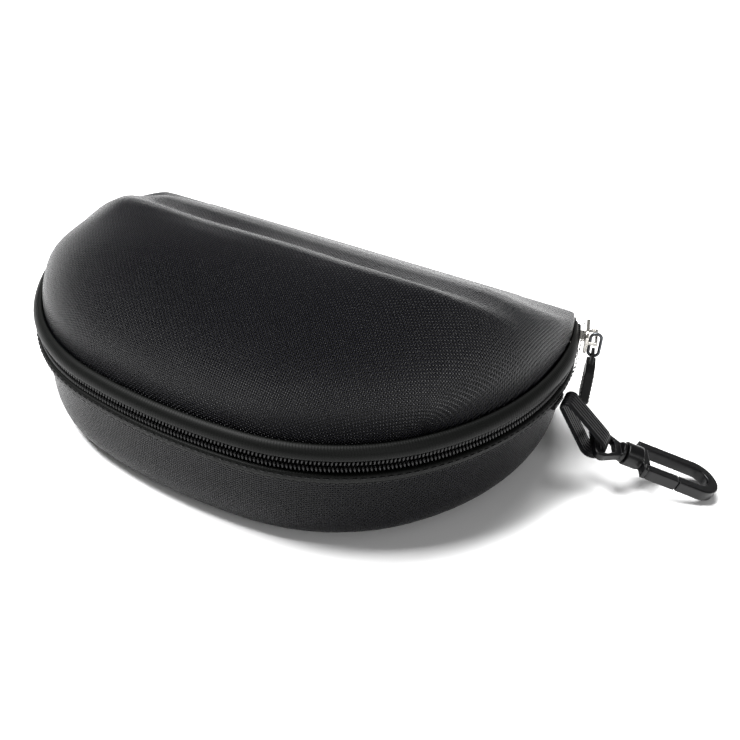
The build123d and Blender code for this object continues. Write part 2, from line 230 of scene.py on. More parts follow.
def zipper_line(end_y, spacing):
    """The open line that the zipper follows, evenly stepped, with its outward directions."""
    points, ways = right_half(0, BACK, CORNER_R, (200, 200, 200, 100, 2))
    keep = points[:, 1] <= end_y
    points, ways = points[keep], ways[keep]
    points = np.concatenate([points[1:][::-1] * [-1, 1], points])
    ways = np.concatenate([ways[1:][::-1] * [-1, 1], ways])
    steps = np.linalg.norm(np.diff(points, axis=0), axis=1)
    far = np.concatenate([[0], np.cumsum(steps)])
    at = np.linspace(0, far[-1], int(far[-1] / spacing) + 1)
    line = np.stack([np.interp(at, far, points[:, i]) for i in (0, 1)], 1)
    out = np.stack([np.interp(at, far, ways[:, i]) for i in (0, 1)], 1)
    return line, out / np.linalg.norm(out, axis=1)[:, None], at


print("zipper runs", round(zipper_line(30, 1.0)[2][-1]), "mm round the case")


# %% [markdown]
# ## From points to a mesh object
# Two helpers turn arrays into finished objects.  Each object sits at the origin with its
# place in its mesh, and carries a UV map measured in metres of cloth, so that a thread is the
# same size wherever the pattern lies.


# %% Mesh helpers
def make_piece(name, points, faces, finish, uv=None, body=None, smooth=True):
    """A mesh object from points in millimetres.  uv holds one pair for each face corner."""
    mesh = bpy.data.meshes.new(name)
    mesh.from_pydata((np.asarray(points) * MM).tolist(), [], [list(f) for f in faces])
    if uv is not None:
        layer = mesh.uv_layers.new(name="cloth")
        flat = (np.asarray(uv, float) * MM).astype(np.float32).ravel()
        layer.data.foreach_set("uv", flat)
    mesh.materials.append(finish)
    mesh.polygons.foreach_set("use_smooth", [smooth] * len(mesh.polygons))
    made = bmesh.new()
    made.from_mesh(mesh)
    bmesh.ops.recalc_face_normals(made, faces=made.faces)
    made.to_mesh(mesh)
    made.free()
    piece = bpy.data.objects.new(name, mesh)
    bpy.context.scene.collection.objects.link(piece)
    if body:
        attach(piece, body)
    return piece


def soft_step(value):
    held = np.clip(value, 0, 1)
    return held * held * (3 - 2 * held)


def round_off(corners, rounds=3):
    """Cuts the corners of a closed outline again and again, which rounds them."""
    line = np.asarray(corners, float)
    for _ in range(rounds):
        after = np.roll(line, -1, axis=0)
        line = np.stack([0.75 * line + 0.25 * after, 0.25 * line + 0.75 * after], 1).reshape(-1, 2)
    return line


def sweep_band(name, profile, end_y, finish, body, spacing=1.6, narrow=0.0):
    """A solid band along the zipper's line.  The profile holds (inset, height) pairs.  With
    narrow, the band loses that share of its height and thickness towards the hinge."""
    line, out, far = zipper_line(end_y, spacing)
    count, rows = len(profile), len(line)
    slim = 1 - narrow * soft_step((line[:, 1] - 2) / (end_y - 2))[:, None, None]
    foot = np.array([3.5, profile[np.argmin(abs(profile[:, 1] - RIM)), 1]])
    shape = foot + (profile[None] - foot) * slim
    plan = line[:, None, :] - out[:, None, :] * shape[:, :, :1]
    high = shape[:, :, 1:]
    points = np.concatenate([plan, high], 2).reshape(-1, 3)
    girth = np.concatenate([[0], np.cumsum(np.linalg.norm(np.diff(
        np.concatenate([profile, profile[:1]]), axis=0), axis=1))])
    faces, uv = [], []
    for i in range(rows - 1):
        for j in range(count):
            k = (j + 1) % count
            faces.append((i * count + j, i * count + k, (i + 1) * count + k, (i + 1) * count + j))
            u0, u1, v0, v1 = far[i], far[i + 1], girth[j], girth[j + 1]
            uv += [(u0, v0), (u0, v1), (u1, v1), (u1, v0)]
    for start in (0, (rows - 1) * count):
        faces.append(tuple(range(start, start + count)))
        uv += [tuple(p) for p in profile]
    return make_piece(name, points, faces, finish, uv, body)


print("rounded square has", len(round_off([(0, 0), (1, 0), (1, 1), (0, 1)])), "points")

# %% [markdown]
# ## Ballistic nylon
# The cover is a heavy plain weave of filament nylon, about 0.75 mm from thread to thread.  Each
# thread shows as a small glossy bead where it passes over its neighbour, and the beads of the
# two directions stand in a chequer pattern.  The product of two sines gives exactly that: it
# is high on every other square of the grid and low on the rest, so one product gives the
# beads' height, and its sign tells warp from weft.  A picture of cloth would blur or repeat.


# %% Weave pattern
def weave(tree, pitch, wander=0.12):
    """Bead pattern on the cloth map: a signed value, + on warp floats and - on weft floats."""
    cloth = node(tree, "ShaderNodeUVMap", {"uv_map": "cloth"})
    bend = node(tree, "ShaderNodeTexNoise", {"noise_dimensions": "2D"}, {
        "Vector": cloth.outputs["UV"], "Scale": 90.0, "Detail": 2.0,
    })
    shift = node(tree, "ShaderNodeVectorMath", {"operation": "MULTIPLY_ADD"}, {
        0: bend.outputs["Color"], 1: (wander * pitch,) * 3, 2: cloth.outputs["UV"],
    })
    turned = node(tree, "ShaderNodeVectorMath", {"operation": "SCALE"}, {
        0: shift.outputs[0], "Scale": math.pi / pitch,
    })
    axes = node(tree, "ShaderNodeSeparateXYZ", None, {0: turned.outputs[0]})
    across = node(tree, "ShaderNodeMath", {"operation": "SINE"}, {0: axes.outputs["X"]})
    along = node(tree, "ShaderNodeMath", {"operation": "SINE"}, {0: axes.outputs["Y"]})
    return node(tree, "ShaderNodeMath", {"operation": "MULTIPLY"}, {
        0: across.outputs[0], 1: along.outputs[0],
    }).outputs[0], cloth


def nylon_finish(name, pitch, dark, painted_highlight_colour, relief, gloss):
    """Woven black filament nylon, with a painted highlight: the warp floats' crowns get a lighter colour.
    """
    material, tree, shader = new_finish(
        name, Roughness=gloss, IOR=1.53, Specular_IOR_Level=0.14,
    )
    beads, cloth = weave(tree, pitch)
    # where the painted highlight goes: the crowns of the warp floats
    warp = node(tree, "ShaderNodeMapRange", {"interpolation_type": "SMOOTHSTEP"}, {
        "Value": beads, "From Min": -0.15, "From Max": 0.75,
    })
    size = node(tree, "ShaderNodeMath", {"operation": "ABSOLUTE"}, {0: beads})
    weft = node(tree, "ShaderNodeMath", {"operation": "MULTIPLY"}, {0: size.outputs[0], 1: 0.45})
    height = node(tree, "ShaderNodeMath", {"operation": "MAXIMUM"}, {0: beads, 1: weft.outputs[0]})
    patches = node(tree, "ShaderNodeTexNoise", None, {
        "Vector": node(tree, "ShaderNodeTexCoord").outputs["Object"], "Scale": 35.0, "Detail": 3.0,
    })
    # painted highlight: the black cloth is mixed towards the lighter colour on the warp crowns, standing
    # in for light caught on the beads
    cloth_and_painted_highlight = node(tree, "ShaderNodeMix", {"data_type": "RGBA"}, {
        0: warp.outputs[0], 6: linear(dark), 7: linear(painted_highlight_colour),
    })
    worn = node(tree, "ShaderNodeHueSaturation", None, {
        "Color": cloth_and_painted_highlight.outputs[2],
        "Value": node(tree, "ShaderNodeMapRange", None, {
            "Value": patches.outputs["Fac"], "To Min": 0.82, "To Max": 1.2,
        }).outputs[0],
    })
    tree.links.new(worn.outputs[0], shader.inputs["Base Color"])
    bump = node(tree, "ShaderNodeBump", None, {
        "Strength": 1.0, "Distance": relief, "Height": height.outputs[0],
    })
    tree.links.new(bump.outputs[0], shader.inputs["Normal"])
    return material


# black cloth, and a lighter colour painted on the warp crowns as highlight
cover_nylon = nylon_finish("ballistic_nylon_weave", 0.75 * MM, "#010102", "#111118", 0.6 * MM, 0.3)
print("cover weave", cover_nylon.name)


# %% [markdown]
# ## Tapes, lining, foam and thread
# The other textiles are finer, so each is described by what the eye still sees: fine ribs
# across a folded binding, a brushed nap on the lining, cells in the cut foam, and cords along
# a narrow webbing.  One function draws parallel ribs along or across the cloth map.


# %% Ribbed textiles
def ribbed_finish(name, pitch, direction, colour, relief, gloss):
    """Fine parallel ribs along U or V of the cloth map, with painted shade: crowns lighter, grooves
    darker.
    """
    material, tree, shader = new_finish(
        name, Roughness=gloss, IOR=1.5, Specular_IOR_Level=0.12,
    )
    cloth = node(tree, "ShaderNodeUVMap", {"uv_map": "cloth"})
    axes = node(tree, "ShaderNodeSeparateXYZ", None, {0: cloth.outputs["UV"]})
    scaled = node(tree, "ShaderNodeMath", {"operation": "MULTIPLY"}, {
        0: axes.outputs[direction], 1: 2 * math.pi / pitch,
    })
    ribs = node(tree, "ShaderNodeMath", {"operation": "SINE"}, {0: scaled.outputs[0]})
    fuzz = node(tree, "ShaderNodeTexNoise", None, {
        "Vector": cloth.outputs["UV"], "Scale": 900.0, "Detail": 3.0,
    })
    height = node(tree, "ShaderNodeMath", {"operation": "MULTIPLY_ADD"}, {
        0: fuzz.outputs["Fac"], 1: 0.6, 2: ribs.outputs[0],
    })
    # painted shade: the colour follows the rib height, lighter on the crowns and darker in the grooves,
    # with a little random fuzz
    tone = node(tree, "ShaderNodeMapRange", None, {
        "Value": height.outputs[0], "From Min": -1.0, "From Max": 1.6, "To Min": 0.7, "To Max": 1.25,
    })
    shade = node(tree, "ShaderNodeHueSaturation", None, {
        "Color": linear(colour), "Value": tone.outputs[0],
    })
    bump = node(tree, "ShaderNodeBump", None, {
        "Strength": 0.6, "Distance": relief, "Height": height.outputs[0],
    })
    tree.links.new(shade.outputs[0], shader.inputs["Base Color"])
    tree.links.new(bump.outputs[0], shader.inputs["Normal"])
    return material


# each colour below is painted lighter on the rib crowns and darker in the grooves, as shade
binding_ribs = ribbed_finish("folded_binding_tape", 0.9 * MM, "X", "#060706", 0.02 * MM, 0.5)
tape_ribs = ribbed_finish("woven_zipper_tape", 0.8 * MM, "Y", "#060606", 0.08 * MM, 0.6)
webbing_ribs = ribbed_finish("narrow_cord_webbing", 1.25 * MM, "Y", "#0a0a0c", 0.3 * MM, 0.5)
hinge_ribs = ribbed_finish("hinge_grosgrain", 1.0 * MM, "X", "#08080a", 0.1 * MM, 0.55)
print("ribbed textiles", 4)


# %% Grainy finishes
def grainy_finish(name, grain, colour, relief, contrast, **sockets):
    """A surface with fine irregular grain, read from the object's own coordinates."""
    material, tree, shader = new_finish(name, **sockets)
    place = node(tree, "ShaderNodeTexCoord")
    fine = node(tree, "ShaderNodeTexNoise", None, {
        "Vector": place.outputs["Object"], "Scale": 1 / grain, "Detail": 4.0, "Roughness": 0.6,
    })
    broad = node(tree, "ShaderNodeTexNoise", None, {
        "Vector": place.outputs["Object"], "Scale": 0.05 / grain, "Detail": 2.0,
    })
    mixed = node(tree, "ShaderNodeMath", {"operation": "MULTIPLY_ADD"}, {
        0: broad.outputs["Fac"], 1: 0.5, 2: fine.outputs["Fac"],
    })
    tone = node(tree, "ShaderNodeMapRange", None, {
        "Value": mixed.outputs[0], "From Min": 0.3, "From Max": 1.2,
        "To Min": 1 - contrast, "To Max": 1 + contrast,
    })
    shade = node(tree, "ShaderNodeHueSaturation", None, {
        "Color": linear(colour), "Value": tone.outputs[0],
    })
    bump = node(tree, "ShaderNodeBump", None, {
        "Strength": 0.5, "Distance": relief, "Height": fine.outputs["Fac"],
    })
    tree.links.new(shade.outputs[0], shader.inputs["Base Color"])
    tree.links.new(bump.outputs[0], shader.inputs["Normal"])
    return material


# brushed knit: matt, with a soft sheen at grazing angles
brushed_knit = grainy_finish("brushed_knit_lining", 0.5 * MM, "#131318", 0.15 * MM, 0.3,
                             Roughness=0.95, Sheen_Weight=0.2, Sheen_Roughness=0.6)
# closed-cell foam: matt, fine open cells where it is cut
cut_foam = grainy_finish("closed_cell_foam", 0.4 * MM, "#26272a", 0.1 * MM, 0.25, Roughness=0.9)
# polyester monofilament: smooth round wire, glossy
coil_wire = grainy_finish("polyester_coil_filament", 0.3 * MM, "#070708", 0.01 * MM, 0.2,
                          Roughness=0.28, IOR=1.57, Specular_IOR_Level=0.25)
# bonded polyester thread: slightly glossy
sewing_thread = grainy_finish("bonded_sewing_thread", 0.15 * MM, "#08080a", 0.03 * MM, 0.3,
                              Roughness=0.45, IOR=1.55, Specular_IOR_Level=0.2)
# acetal: satin, faintly frosted by the mould's spark-eroded face
satin_acetal = grainy_finish("satin_black_acetal", 0.12 * MM, "#040405", 0.012 * MM, 0.15,
                             Roughness=0.3, IOR=1.48, Specular_IOR_Level=0.3)
# soft PVC: matt black with a dusty bloom
soft_puller = grainy_finish("soft_moulded_puller", 0.2 * MM, "#0b0c0e", 0.02 * MM, 0.25,
                            Roughness=0.5, IOR=1.52, Specular_IOR_Level=0.2)
# nickel-plated zinc: bright, with faint tumbling marks
nickel_plate = grainy_finish("nickel_plated_zinc", 0.6 * MM, "#cfccc6", 0.006 * MM, 0.12,
                             Metallic=1.0, Roughness=0.2)
# blackened steel wire: dark metal with a worn gleam
black_wire = grainy_finish("blackened_steel_wire", 0.4 * MM, "#55575a", 0.006 * MM, 0.3,
                           Metallic=1.0, Roughness=0.32)
print("grainy finishes", 8)

# %% [markdown]
# ## The moulded shells
# Each shell is one sandwich pressed hot in a mould: nylon outside, foam in the middle, lining
# inside.  Its surface is a height over every point of the plan: the side climbs as a rounded
# wall, and a roof line seen from the end gives the front lobe, the step behind it and the low
# slope to the hinge.  The lower of the two wins, with a soft change between them.  Rings of
# points that follow the rim carry this surface, because cloth pulled over a mould also
# gathers towards the rim.


# %% Height of the upper shell
ROOF_Y = np.array([-200, -40, -36, -29.5, -25, -21, -17, -13, -9, -5, 0, 4, 12, 22, 32.4, 50])
ROOF_DROP = np.array([0, 0, 0.1, 1.0, 3.2, 6.2, 8.9, 10.9, 11.7, 12.3, 13.9, 15.9, 20.8, 26.7, 32.6, 43.0])


def inside_distance(x, y):
    """How far a plan point lies inside the widest edge, measured square to the front and ends."""
    x = np.abs(x)
    turn = np.arctan2(y - SHOULDER[1], x - SHOULDER[0]) + math.pi / 2
    by_front = FRONT_R - np.hypot(x, y - FRONT_Y)
    by_shoulder = SHOULDER_R - np.hypot(x - SHOULDER[0], y - SHOULDER[1])
    by_end = HALF_LENGTH - np.hypot(x, y)
    front_side = np.arctan2(x, FRONT_Y - y) < FRONT_TURN
    end_side = (turn > SHOULDER_TURN) & (x > 0) & (y > -x / math.tan(SHOULDER_TURN))
    return np.where(front_side & (y < 0), by_front, np.where(end_side, by_end, by_shoulder))


def smaller(a, b, softness):
    """The smaller of two heights, with a rounded change from one to the other."""
    share = np.clip(0.5 + 0.5 * (b - a) / softness, 0, 1)
    return b * (1 - share) + a * share - softness * share * (1 - share)


def roof_height(y, depth):
    fine = np.interp(y + 0.8, ROOF_Y, ROOF_DROP) + np.interp(y - 0.8, ROOF_Y, ROOF_DROP)
    return UPPER_EDGE + DOME_HEIGHT - 0.5 * fine - 1.15 * depth


def upper_height(x, y, depth):
    inside = np.clip(inside_distance(x, y) - SHELL_INSET - depth, 0, DOME_SPREAD)
    share = (1 - (1 - inside / DOME_SPREAD) ** (1 / DOME_ROOT)) ** (1 / DOME_POWER)
    side = UPPER_EDGE + (DOME_HEIGHT - depth) * share
    high = smaller(side, roof_height(y, depth), 5.0)
    left_sag = 5.5 * soft_step((-x - 56) / 26) * soft_step((y + 52) / 24)
    right_sag = 3.0 * soft_step((x - 64) / 24) * soft_step((y + 25) / 30)
    lift = soft_step((high - UPPER_EDGE) / 12)
    dent = 0.9 * np.exp(-(((x - 4) / 16) ** 2 + ((high - 50) / 7) ** 2)) * (y < -30)
    ripple = 0.25 * np.sin(x / 9.0 + 1.3) * np.sin(y / 11.0) + 0.2 * np.sin(x / 17.0 - y / 8.0)
    return np.maximum(high - lift * (left_sag + right_sag + ripple) - dent, UPPER_EDGE)


print("top of the lobe", round(float(upper_height(np.array(0.0), np.array(-45.0), 0)), 1), "mm")


# %% Rings of the two shells
def upper_rings(depth, steps=40, inner=10):
    """Rings from the upper shell's edge up to a point on its top."""
    rings = []
    for share in np.sin(np.linspace(0, math.pi / 2, steps)) ** 1.15:
        spread = DOME_SPREAD * (1 - (1 - share**DOME_POWER) ** DOME_ROOT)
        back = BACK - SHELL_INSET - depth
        back = back - np.interp(share, [0, 0.5, 0.75, 1], [0, 27, 38, 46.5 - depth])
        corner = np.interp(share, [0, 0.25, 0.6, 1], [max(4.4 - depth, 4.0), 20, 20, 5])
        plan = whole_ring(SHELL_INSET + depth + spread, back, corner)
        high = upper_height(plan[:, 0], plan[:, 1], depth)
        if share == 0:
            high = np.full(len(plan), UPPER_EDGE)
        rings.append(np.column_stack([plan, high]))
    middle = np.array([0.0, -26.0])
    for shrink in np.linspace(1, 0, inner + 1)[1:-1]:
        plan = middle + (rings[steps - 1][:, :2] - middle) * shrink
        rings.append(np.column_stack([plan, upper_height(plan[:, 0], plan[:, 1], depth)]))
    return rings, np.array([*middle, float(upper_height(*middle[:, None], depth)[0])])


def lower_rings(depth, steps=30, inner=10):
    """Rings from the lower shell's edge down to the middle of its floor."""
    rings = []
    for share in np.sin(np.linspace(0, math.pi / 2, steps)):
        spread = 13.0 * (1 - (1 - share**7.0) ** 0.5)
        inset = SHELL_INSET + depth + spread
        plan = whole_ring(inset, BACK - inset, max(CORNER_R - inset, 4.0))
        high = LOWER_EDGE - (LOWER_EDGE - depth) * share
        rings.append(np.column_stack([plan, np.full(len(plan), high)]))
    middle = np.array([0.0, -20.0])
    for shrink in np.linspace(1, 0, inner + 1)[1:-1]:
        plan = middle + (rings[steps - 1][:, :2] - middle) * shrink
        rings.append(np.column_stack([plan, np.full(len(plan), depth + 0.25 * (1 - shrink))]))
    return rings, np.array([*middle, depth + 0.25])


print("upper shell", len(upper_rings(0)[0]), "rings of", len(upper_rings(0)[0][0]), "points")


# %% Cloth map and closed layers
def cloth_map(rings, middle):
    """Lays every ring out flat: each step outwards keeps its plan direction and true length."""
    flat = [None] * len(rings)
    before, before_flat = np.tile(middle, (len(rings[0]), 1)), np.zeros((len(rings[0]), 2))
    way = None
    for i in range(len(rings) - 1, -1, -1):
        step = rings[i] - before
        plan = np.linalg.norm(step[:, :2], axis=1)
        fresh = step[:, :2] / np.maximum(plan, 1e-9)[:, None]
        way = fresh if way is None else np.where(plan[:, None] > 0.02, fresh, way)
        flat[i] = before_flat + way * np.linalg.norm(step, axis=1)[:, None]
        before, before_flat = rings[i], flat[i]
    return flat


def wall_map(rings, middle):
    """For a straight wall: U runs round the case and V runs down the wall."""
    around = np.linalg.norm(np.roll(rings[0], -1, axis=0) - rings[0], axis=1)
    u = np.concatenate([[0], np.cumsum(around)])[:-1]
    down, flat = np.zeros(len(u)), []
    for i, ring in enumerate(rings):
        if i:
            down = down + np.linalg.norm(ring - rings[i - 1], axis=1)
        flat.append(np.column_stack([u, down]))
    return flat


def shell_layer(name, rings_at, outer, inner, finish, body, mapping):
    """A closed layer of a shell between two depths, with its edge and both middles closed."""
    points, faces, uv, starts = [], [], [], []
    for depth in (outer, inner):
        rings, middle = rings_at(depth)
        flat = mapping(rings, middle)
        start, columns = len(points), len(rings[0])
        starts.append(start)
        for ring in rings:
            points += ring.tolist()
        points.append(middle.tolist())
        around = np.linalg.norm(rings[0][0] - rings[0][-1])
        for i in range(len(rings) - 1):
            for j in range(columns):
                k = (j + 1) % columns
                faces.append((start + i * columns + j, start + i * columns + k,
                              start + (i + 1) * columns + k, start + (i + 1) * columns + j))
                corners = [flat[i][j], flat[i][k], flat[i + 1][k], flat[i + 1][j]]
                if mapping is wall_map and k == 0:
                    wrap = np.array([flat[i][j][0] + around, 0])
                    corners[1] = corners[1] * [0, 1] + wrap
                    corners[2] = corners[2] * [0, 1] + wrap
                uv += corners
        last = start + (len(rings) - 1) * columns
        for j in range(columns):
            k = (j + 1) % columns
            faces.append((last + j, last + k, len(points) - 1))
            uv += [flat[-1][j], flat[-1][k], 0.5 * (flat[-1][j] + flat[-1][k]) * 0.5]
    for j in range(columns):
        k = (j + 1) % columns
        faces.append((starts[0] + j, starts[0] + k, starts[1] + k, starts[1] + j))
        uv += [(j, 0), (k, 0), (k, 1), (j, 1)]
    return make_piece(name, points, faces, finish, uv, body)


print("mapped dome reaches", round(float(np.abs(cloth_map(*upper_rings(0))[0]).max())), "mm")

# %% Make both sandwiches
upper_cover = shell_layer("upper_nylon_cover", upper_rings, 0, 0.8, cover_nylon, "lid",
                          cloth_map)
upper_foam = shell_layer("upper_moulded_foam", lambda d: upper_rings(d, 22, 5), 0.85, 4.15,
                         cut_foam, "lid", cloth_map)
upper_lining = shell_layer("upper_brushed_lining", lambda d: upper_rings(d, 30, 8), 4.2, 4.8,
                           brushed_knit, "lid", cloth_map)
lower_cover = shell_layer("lower_nylon_cover", lower_rings, 0, 0.8, cover_nylon, "base",
                          wall_map)
lower_foam = shell_layer("lower_moulded_foam", lambda d: lower_rings(d, 18, 4), 0.85, 4.15,
                         cut_foam, "base", wall_map)
lower_lining = shell_layer("lower_brushed_lining", lambda d: lower_rings(d, 24, 6), 4.2, 4.8,
                           brushed_knit, "base", wall_map)
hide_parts("upper_shell_cover")
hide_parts("upper_shell_foam")
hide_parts("upper_lining")
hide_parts("lower_shell_cover")
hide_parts("lower_shell_foam")
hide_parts("lower_lining")
print("upper cover", len(upper_cover.data.polygons), "faces")

# %% [markdown]
# ## Bindings and tapes
# Along the opening each shell ends in a folded binding that hides the raw edges.  The upper
# one is a plump roll that leans in to the seam; the lower one is flatter.  Each is a rounded
# outline swept along the zipper's line, as a sewing folder forms it.

# %% Bindings, edge tapes and zipper tapes
upper_roll = round_off([(0.5, 36.5), (-0.05, 37.2), (0.3, 39.0), (1.7, 40.5), (3.3, 40.7),
                        (3.5, 39.0), (3.5, 36.5)])
lower_roll = round_off([(0.7, 31.5), (3.5, 31.5), (3.5, 27.8), (2.4, 27.4), (0.6, 28.3),
                        (0.15, 30.0)])
upper_binding = sweep_band("upper_folded_binding", upper_roll, 29.0, binding_ribs, "lid",
                           narrow=0.6)
lower_binding = sweep_band("lower_folded_binding", lower_roll, 29.0, binding_ribs, "base",
                           narrow=0.4)
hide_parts("upper_binding")
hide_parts("lower_binding")
upper_tape = sweep_band("upper_zipper_tape_strip", round_off(
    [(2.9, 34.6), (3.6, 34.6), (3.6, 38.7), (2.9, 38.7)], 1), 30.0, tape_ribs, "lid")
lower_tape = sweep_band("lower_zipper_tape_strip", round_off(
    [(2.9, 29.3), (3.6, 29.3), (3.6, 33.4), (2.9, 33.4)], 1), 30.0, tape_ribs, "base")
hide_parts("upper_zipper_tape")
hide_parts("lower_zipper_tape")
print("bindings", len(upper_binding.data.polygons) + len(lower_binding.data.polygons), "faces")


# %% Edge tapes all the way round
def edge_ring(name, low, high, body):
    """A closed flat ring that covers the cut edge of a shell's sandwich."""
    profile = round_off([(3.75, low), (8.3, low), (8.3, high), (3.75, high)], 2)
    rings = [whole_ring(p[0], BACK - p[0], max(CORNER_R - p[0], 4.0)) for p in profile]
    count = len(rings[0])
    points = [(*xy, p[1]) for ring, p in zip(rings, profile) for xy in ring]
    faces, uv = [], []
    for i in range(len(profile)):
        n = (i + 1) % len(profile)
        for j in range(count):
            k = (j + 1) % count
            faces.append((i * count + j, i * count + k, n * count + k, n * count + j))
            uv += [(j * 1.7, i * 0.6), (j * 1.7 + 1.7, i * 0.6), (j * 1.7 + 1.7, i * 0.6 + 0.6),
                   (j * 1.7, i * 0.6 + 0.6)]
    return make_piece(name, points, faces, binding_ribs, uv, body)


upper_edge = edge_ring("upper_edge_binding", 37.15, 38.0, "lid")
lower_edge = edge_ring("lower_edge_binding", 30.0, 30.85, "base")
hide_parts("upper_edge_tape")
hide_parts("lower_edge_tape")
print("edge rings", len(upper_edge.data.polygons), "faces each")

# %% [markdown]
# ## Zipper teeth and stitches, repeated by Geometry Nodes
# A coil zipper is a nylon wire wound into hundreds of loops 1.2 mm apart, and each seam is a
# row of short threads.  Both are one small shape repeated along a line, so one Geometry Nodes
# tree makes them all: it turns the line into evenly spaced points, puts a bead on each, turns
# it along the line, and makes the copies real.


# %% A tree that puts beads along a line
def bead_tree(name, segments=8, rings=5):
    tree = bpy.data.node_groups.new(name, "GeometryNodeTree")
    face = tree.interface
    face.new_socket("Line", in_out="INPUT", socket_type="NodeSocketGeometry")
    for label in ("Spacing", "Length", "Thickness", "Height", "Slant"):
        face.new_socket(label, in_out="INPUT", socket_type="NodeSocketFloat")
    face.new_socket("Finish", in_out="INPUT", socket_type="NodeSocketMaterial")
    face.new_socket("Beads", in_out="OUTPUT", socket_type="NodeSocketGeometry")
    given = node(tree, "NodeGroupInput")
    line = node(tree, "GeometryNodeMeshToCurve", None, {0: given.outputs["Line"]})
    points = node(tree, "GeometryNodeCurveToPoints", {"mode": "LENGTH"}, {
        "Curve": line.outputs[0], "Length": given.outputs["Spacing"],
    })
    facing = node(tree, "FunctionNodeAlignRotationToVector", {"axis": "X"}, {
        "Vector": points.outputs["Tangent"],
    })
    level = node(tree, "FunctionNodeAlignRotationToVector", {"axis": "Z", "pivot_axis": "X"}, {
        "Rotation": facing.outputs[0], "Vector": (0.0, 0.0, 1.0),
    })
    ball = node(tree, "GeometryNodeMeshUVSphere", None, {
        "Segments": segments, "Rings": rings, "Radius": 0.5,
    })
    size = node(tree, "ShaderNodeCombineXYZ", None, {
        0: given.outputs["Length"], 1: given.outputs["Thickness"], 2: given.outputs["Height"],
    })
    copies = node(tree, "GeometryNodeInstanceOnPoints", None, {
        "Points": points.outputs[0], "Instance": ball.outputs[0],
        "Rotation": level.outputs[0], "Scale": size.outputs[0],
    })
    lean = node(tree, "ShaderNodeCombineXYZ", None, {1: given.outputs["Slant"]})
    leaned = node(tree, "GeometryNodeRotateInstances", None, {
        "Instances": copies.outputs[0], "Rotation": lean.outputs[0],
    })
    real = node(tree, "GeometryNodeRealizeInstances", None, {0: leaned.outputs[0]})
    smooth = node(tree, "GeometryNodeSetShadeSmooth", None, {0: real.outputs[0]})
    coloured = node(tree, "GeometryNodeSetMaterial", None, {
        0: smooth.outputs[0], "Material": given.outputs["Finish"],
    })
    node(tree, "NodeGroupOutput", None, {0: coloured.outputs[0]})
    return tree


beads_on_line = bead_tree("beads_on_a_line")
print("tree inputs", [s.name for s in beads_on_line.interface.items_tree])


# %% Running the tree on a line of points
def beads(name, line, sizes, finish, body, slot, tree=beads_on_line):
    """Beads along a line in millimetres, as one plain mesh that rides on a body."""
    mesh = bpy.data.meshes.new(name + "_line")
    points = (np.asarray(line) * MM).tolist()
    mesh.from_pydata(points, [(i, i + 1) for i in range(len(points) - 1)], [])
    guide = bpy.data.objects.new(name + "_line", mesh)
    bpy.context.scene.collection.objects.link(guide)
    modifier = guide.modifiers.new("beads", "NODES")
    modifier.node_group = tree
    wanted = {"Spacing": sizes[0] * MM, "Length": sizes[1] * MM, "Thickness": sizes[2] * MM,
              "Height": sizes[3] * MM, "Slant": sizes[4], "Finish": finish}
    for socket in tree.interface.items_tree:
        if socket.name in wanted:
            modifier[socket.identifier] = wanted[socket.name]
    seen = guide.evaluated_get(bpy.context.evaluated_depsgraph_get())
    made = bpy.data.meshes.new_from_object(seen)
    made.name = name
    bpy.data.objects.remove(guide)
    piece = bpy.data.objects.new(name, made)
    bpy.context.scene.collection.objects.link(piece)
    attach(piece, body)
    return piece


def along_zipper(inset, height, end_y, start=0.0):
    """A line at an inset and a height beside the zipper, for teeth or stitches."""
    line, out, far = zipper_line(end_y, 0.8)
    plan = line - out * inset
    keep = far >= start
    return np.column_stack([plan, np.full(len(plan), height)])[keep]


# %% Teeth of the two rows
TOOTH_PITCH = 1.18
upper_coil = beads("upper_coil_teeth", along_zipper(1.75, 35.2, 29.9),
                   (TOOTH_PITCH, 0.86, 1.7, 2.35, 0.16), coil_wire, "lid", "zipper_coil")
lower_coil = beads("lower_coil_teeth", along_zipper(1.75, 32.8, 27.9, TOOTH_PITCH / 2),
                   (TOOTH_PITCH, 0.86, 1.7, 2.35, -0.16), coil_wire, "base", "zipper_coil")
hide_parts("upper_zipper_coil")
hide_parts("lower_zipper_coil")
print("teeth faces", len(upper_coil.data.polygons) + len(lower_coil.data.polygons))

# %% Stitch rows
STITCH = (2.6, 2.0, 0.34, 0.42, 0.0)
for name, inset, height, body in (
    ("upper_binding_stitches", 0.22, 37.6, "lid"), ("lower_binding_stitches", 0.22, 30.4, "base"),
    ("lower_hem_stitches", 0.72, 28.3, "base"),
):
    beads(name, along_zipper(inset, height, 28.5), STITCH, sewing_thread, body, "binding_tape")
print("stitch rows", 3)

# %% [markdown]
# ## The fabric hinge
# At the straight back one strip of grosgrain joins the shells.  It has to bend when the case
# opens, so it is a thin closed strip with close rows of points at the hinge line.  It rides
# on neither body.

